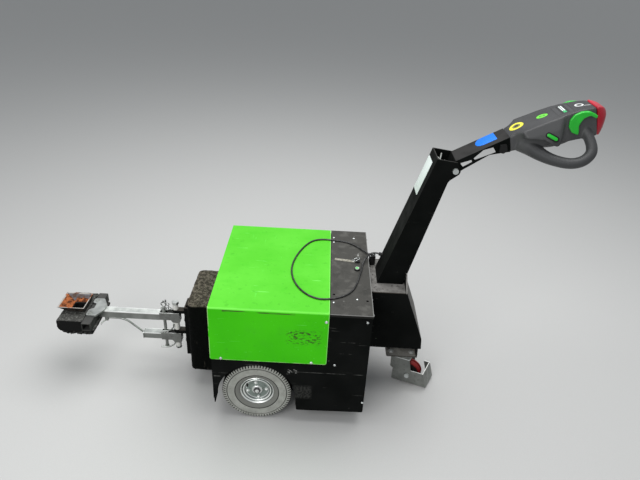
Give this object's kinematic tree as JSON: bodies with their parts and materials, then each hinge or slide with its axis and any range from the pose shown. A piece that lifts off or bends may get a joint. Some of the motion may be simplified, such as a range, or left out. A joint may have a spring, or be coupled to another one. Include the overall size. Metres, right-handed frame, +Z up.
{
  "type": "electric tow tug",
  "caption": "Pedestrian electric tow tug: two drive wheels under a hood, hinged tow arm with catch funnel, castor under a leaning column and a tiller head with grip loops.",
  "frame": {"origin": "centre of the plan outline, at floor level", "axes": "+X from the tow head to the tiller along the mid-plane, +Y to the left of a driver at the tiller who walks ahead looking along +X, +Z up"},
  "size_m": [1.9378, 0.595, 1.2047],
  "materials": {
    "hood_green": "lime green gloss paint, scuffed",
    "body_black": "black satin paint, worn at the edges",
    "zinc": "bright zinc plate, slightly dulled",
    "sleeve_white": "pale plastic spacer tube, a little dirty",
    "rim_steel": "zinc-plated pressed steel",
    "tyre": "black rubber, dusty",
    "pad_rubber": "black rubber, speckled with dirt",
    "rusty_steel": "bare steel with rust",
    "battery_case": "moulded battery case",
    "gearbox": "painted cast housing",
    "moulded_black": "moulded dark grey plastic",
    "lever_green": "green moulded plastic",
    "switch_red": "red moulded plastic",
    "castor_core": "moulded nylon core",
    "castor_red": "dark red elastic rubber",
    "switch_gear": "black moulded plastic with small metal parts",
    "cable": "black rubber sheath"
  },
  "bodies": {
    "chassis": {"side_plate_right": "body_black", "side_plate_left": "body_black", "hood": "hood_green", "top_panel": "body_black", "front_wall": "body_black", "rear_wall": "body_black", "belly_plate": "body_black", "frame_rail_right": "body_black", "frame_rail_left": "body_black", "battery_pack": "battery_case", "transaxle": "gearbox", "drive_motor": "gearbox", "ballast_box": "body_black", "hitch_bracket": "body_black", "hinge_pin": "zinc", "bracket_cheek_right": "body_black", "bracket_cheek_left": "body_black", "bracket_back": "body_black", "bracket_top": "body_black", "bracket_rear": "body_black", "castor_base": "body_black", "column": "body_black", "pivot_bolt": "zinc", "castor_plate": "zinc", "power_button": "switch_gear", "key_switch": "switch_gear", "cable_socket": "switch_gear", "column_gland": "switch_gear", "control_cable": "cable"},
    "wheel_right": {"tyre_right": "tyre", "rim_right": "rim_steel"},
    "wheel_left": {"tyre_left": "tyre", "rim_left": "rim_steel"},
    "tow_arm": {"upper_knuckle": "body_black", "lower_knuckle": "body_black", "main_tube": "zinc", "lower_tube": "zinc", "latch_pin": "zinc", "brace_rod": "zinc", "cross_tube": "zinc", "jaw_plate": "zinc", "rubber_pad": "pad_rubber", "catch_funnel": "rusty_steel", "hinge_sleeves": "sleeve_white", "release_rods": "zinc"},
    "castor_swivel": {"castor_fork": "zinc", "foot_guard": "zinc", "castor_axle": "zinc"},
    "castor_wheel": {"castor_core": "castor_core", "castor_tread": "castor_red"},
    "tiller": {"tiller_arm": "body_black", "tiller_head": "moulded_black", "grip_loop_right": "moulded_black", "grip_loop_left": "moulded_black", "thumb_lever_right": "lever_green", "thumb_lever_left": "lever_green", "belly_switch": "switch_red", "arm_switch_box": "moulded_black"}
  },
  "joints": [
    {"name": "right_wheel_spin", "type": "hinge", "parent": "chassis", "child": "wheel_right", "pos_m": [-0.15525, -0.2415, 0.13], "axis": [0, 1, 0], "continuous": true},
    {"name": "left_wheel_spin", "type": "hinge", "parent": "chassis", "child": "wheel_left", "pos_m": [-0.15525, 0.2415, 0.13], "axis": [0, 1, 0], "continuous": true},
    {"name": "castor_swivel_turn", "type": "hinge", "parent": "chassis", "child": "castor_swivel", "pos_m": [0.403, 0, 0.131], "axis": [0, 0, 1], "continuous": true},
    {"name": "castor_wheel_spin", "type": "hinge", "parent": "castor_swivel", "child": "castor_wheel", "pos_m": [0.45448, -0.01935, 0.05], "axis": [0.3518, 0.9361, 0], "continuous": true},
    {"name": "tiller_pivot", "type": "hinge", "parent": "chassis", "child": "tiller", "pos_m": [0.493, 0, 0.964], "axis": [0, 1, 0], "range_deg": [-50, 40]},
    {"name": "tow_arm_swing", "type": "hinge", "parent": "chassis", "child": "tow_arm", "pos_m": [-0.514, 0, 0.2], "axis": [0, 0, 1], "range_deg": [-70, 70]}
  ]
}
